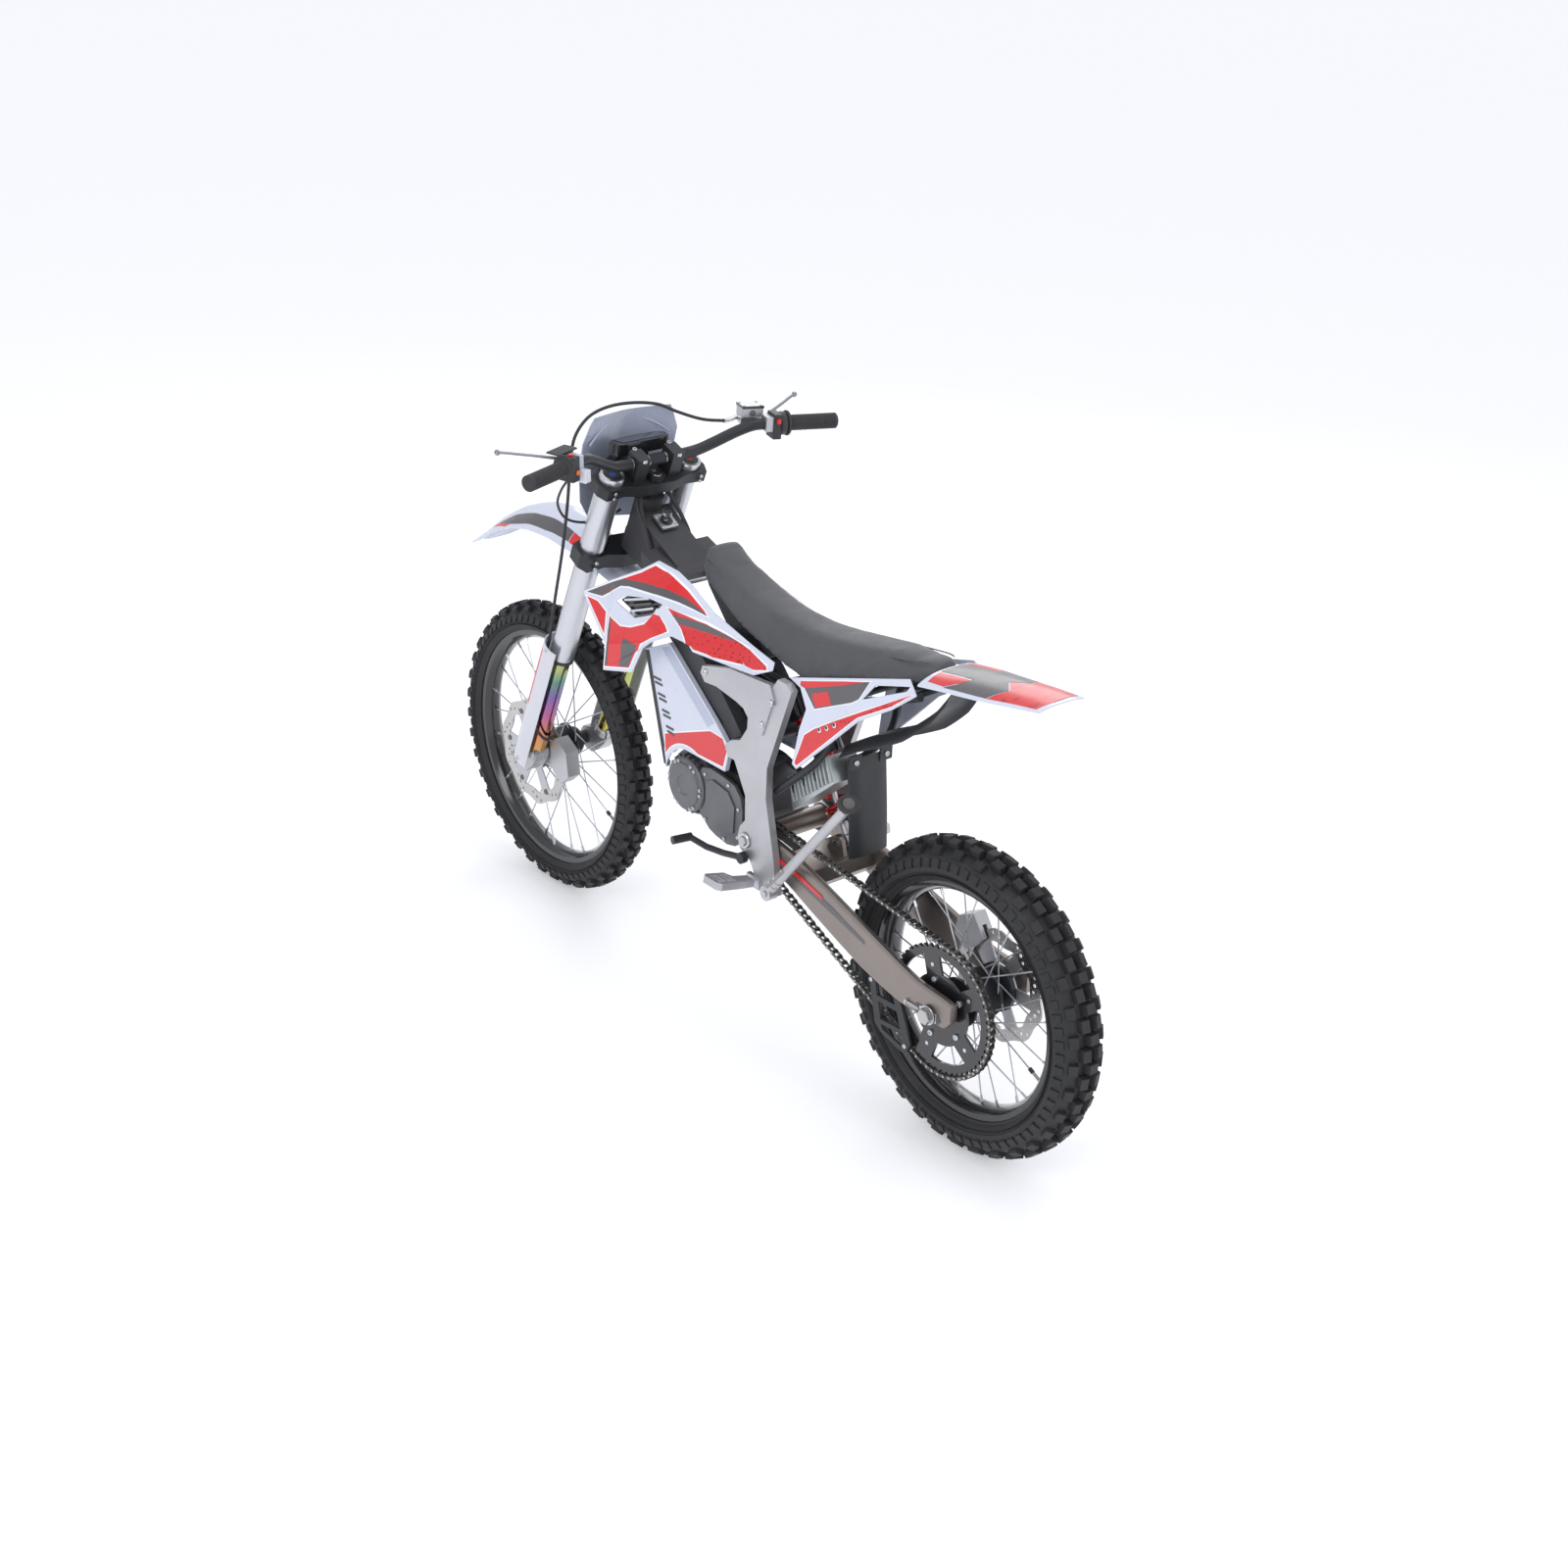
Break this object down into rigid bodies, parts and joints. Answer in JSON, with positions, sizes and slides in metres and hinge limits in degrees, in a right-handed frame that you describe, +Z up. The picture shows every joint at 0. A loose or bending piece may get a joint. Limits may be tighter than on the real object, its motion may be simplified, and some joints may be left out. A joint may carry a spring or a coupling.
{
  "type": "electric off-road motorcycle",
  "caption": "Full-size electric enduro motorcycle with laced wheels, telescopic fork, sprung swingarm, chain drive, slim seat and moulded side shrouds.",
  "frame": {"origin": "middle of the footprint on the ground, under the middle of the wheelbase", "axes": "+X forward along the machine, +Y to the rider's left, +Z up"},
  "size_m": [2.075, 0.8078, 1.2401],
  "materials": {
    "black_metal": "satin black paint and anodising",
    "cast_silver": "cast, fine grain",
    "satin_aluminium": "satin machined",
    "bronze_aluminium": "satin bronze-grey anodised",
    "steel": "brushed",
    "black_plastic": "fine grain",
    "white_plastic": "semi-gloss moulded",
    "pale_plastic": "semi-gloss moulded",
    "red_plastic": "gloss red",
    "rubber": "matte",
    "tyre_rubber": "matte, blocky tread",
    "seat_vinyl": "grained vinyl"
  },
  "bodies": {
    "chassis": {"main_frame": "black_metal", "pivot_plate_left": "cast_silver", "pivot_plate_right": "cast_silver", "subframe": "black_metal", "battery_pack": "black_plastic", "battery_cover_left": "white_plastic", "battery_cover_right": "white_plastic", "motor": "black_metal", "controller": "cast_silver", "shroud_left": "white_plastic", "shroud_right": "white_plastic", "side_panel_left": "white_plastic", "side_panel_right": "white_plastic", "seat": "seat_vinyl", "tail_fender": "white_plastic", "undertail": "black_plastic", "mud_flap": "rubber"},
    "swingarm": {"swingarm": "bronze_aluminium", "chain": "black_metal", "rear_axle": "steel", "rear_caliper": "cast_silver"},
    "rear_wheel": {"rear_tyre": "tyre_rubber", "rear_laced_wheel": "black_metal", "rear_sprocket": "black_metal", "rear_disc": "steel"},
    "drive_sprocket": {"drive_sprocket": "steel"},
    "steering": {"upper_clamp": "black_metal", "lower_clamp": "black_metal", "fork_tube_left": "satin_aluminium", "fork_tube_right": "satin_aluminium", "handlebar": "black_metal", "grip_left": "rubber", "headlight_mask": "pale_plastic", "headlight": "black_plastic", "dash": "black_plastic", "front_fender": "white_plastic", "left_control": "black_plastic", "right_control": "black_plastic", "front_brake_hose": "rubber", "clutch_cable": "rubber"},
    "throttle_grip": {"throttle_grip": "rubber"},
    "lever_left": {"lever_left": "satin_aluminium"},
    "lever_right": {"lever_right": "satin_aluminium"},
    "kill_button": {"kill_button": "red_plastic"},
    "fork_lower": {"fork_leg_left": "satin_aluminium", "fork_leg_right": "satin_aluminium", "front_axle": "steel", "front_caliper": "cast_silver"},
    "front_wheel": {"front_tyre": "tyre_rubber", "front_laced_wheel": "black_metal", "front_disc": "steel"},
    "kickstand": {"kickstand": "cast_silver"},
    "footpeg_left": {"footpeg_left": "steel"},
    "footpeg_right": {"footpeg_right": "steel"},
    "shift_lever": {"shift_lever": "black_metal"},
    "brake_pedal": {"brake_pedal": "black_metal"},
    "shock_body": {"shock_body": "black_metal", "shock_spring": "red_plastic"},
    "shock_shaft": {"shock_shaft": "steel"},
    "key": {"key": "steel"}
  },
  "joints": [
    {"name": "rear_suspension", "type": "hinge", "parent": "chassis", "child": "swingarm", "pos_m": [-0.1525, 0, 0.476], "axis": [0, 1, 0], "range_deg": [0, 15], "stiffness_Nm_per_rad": 1500, "springref_deg": -12.61, "deforming": ["chain"]},
    {"name": "rear_wheel_spin", "type": "hinge", "parent": "swingarm", "child": "rear_wheel", "pos_m": [-0.7095, 0, 0.328], "axis": [0, 1, 0], "continuous": true},
    {"name": "drive_sprocket_spin", "type": "hinge", "parent": "chassis", "child": "drive_sprocket", "pos_m": [-0.0875, 0, 0.492], "axis": [0, 1, 0], "continuous": true},
    {"name": "steer", "type": "hinge", "parent": "chassis", "child": "steering", "pos_m": [0.3245, 0, 1.102], "axis": [-0.3665, 0, 0.9304], "range_deg": [-42, 42]},
    {"name": "fork_slide", "type": "slide", "parent": "steering", "child": "fork_lower", "axis": [-0.3665, 0, 0.9304], "range_m": [0, 0.19], "stiffness_N_per_m": 9000, "springref_m": -0.06, "deforming": ["front_brake_hose"]},
    {"name": "front_wheel_spin", "type": "hinge", "parent": "fork_lower", "child": "front_wheel", "pos_m": [0.6905, 0, 0.347], "axis": [0, 1, 0], "continuous": true},
    {"name": "throttle_twist", "type": "hinge", "parent": "steering", "child": "throttle_grip", "pos_m": [0.2135, -0.398, 1.186], "axis": [-0.2893, -0.9566, -0.0354], "range_deg": [0, 70], "stiffness_Nm_per_rad": 0.4, "springref_deg": -17.19},
    {"name": "lever_right_pull", "type": "hinge", "parent": "steering", "child": "lever_right", "pos_m": [0.2895, -0.263, 1.192], "axis": [0, 0, -1], "range_deg": [0, 18], "stiffness_Nm_per_rad": 4, "springref_deg": -5.73},
    {"name": "lever_left_pull", "type": "hinge", "parent": "steering", "child": "lever_left", "pos_m": [0.2895, 0.263, 1.192], "axis": [0, 0, 1], "range_deg": [0, 18], "stiffness_Nm_per_rad": 4, "springref_deg": -5.73},
    {"name": "kickstand_fold", "type": "hinge", "parent": "chassis", "child": "kickstand", "pos_m": [-0.2475, 0.132, 0.4], "axis": [0, -1, 0], "range_deg": [0, 112]},
    {"name": "footpeg_left_fold", "type": "hinge", "parent": "chassis", "child": "footpeg_left", "pos_m": [-0.1895, 0.137, 0.404], "axis": [1, 0, 0], "range_deg": [0, 60], "stiffness_Nm_per_rad": 2, "springref_deg": -51.57},
    {"name": "footpeg_right_fold", "type": "hinge", "parent": "chassis", "child": "footpeg_right", "pos_m": [-0.1895, -0.137, 0.404], "axis": [-1, 0, 0], "range_deg": [0, 60], "stiffness_Nm_per_rad": 2, "springref_deg": -51.57},
    {"name": "shift_lever_turn", "type": "hinge", "parent": "chassis", "child": "shift_lever", "pos_m": [-0.1575, 0.13, 0.441], "axis": [0, 1, 0], "range_deg": [-10, 10], "stiffness_Nm_per_rad": 30},
    {"name": "brake_pedal_press", "type": "hinge", "parent": "chassis", "child": "brake_pedal", "pos_m": [-0.1625, -0.13, 0.425], "axis": [0, 1, 0], "range_deg": [0, 10], "stiffness_Nm_per_rad": 30, "springref_deg": -8.59},
    {"name": "shock_pivot", "type": "hinge", "parent": "chassis", "child": "shock_body", "pos_m": [-0.1095, -0.045, 0.765], "axis": [0, 1, 0], "range_deg": [-2, 6]},
    {"name": "shock_stroke", "type": "slide", "parent": "shock_body", "child": "shock_shaft", "axis": [0.5286, 0, 0.8488], "range_m": [0, 0.035], "deforming": ["shock_spring"]},
    {"name": "key_turn", "type": "hinge", "parent": "chassis", "child": "key", "pos_m": [0.2895, 0, 1.015], "axis": [-0.2334, 0, 0.9724], "range_deg": [0, 90]},
    {"name": "kill_button_press", "type": "slide", "parent": "steering", "child": "kill_button", "axis": [1, 0, 0], "range_m": [0, 0.003], "stiffness_N_per_m": 300, "springref_m": -0.002}
  ],
  "couplings": [
    {"joint": "drive_sprocket_spin", "follows": "rear_wheel_spin", "ratio": 4},
    {"joint": "shock_pivot", "follows": "rear_suspension", "ratio": 0.1577},
    {"joint": "shock_stroke", "follows": "rear_suspension", "m_per_rad": 0.1222}
  ]
}
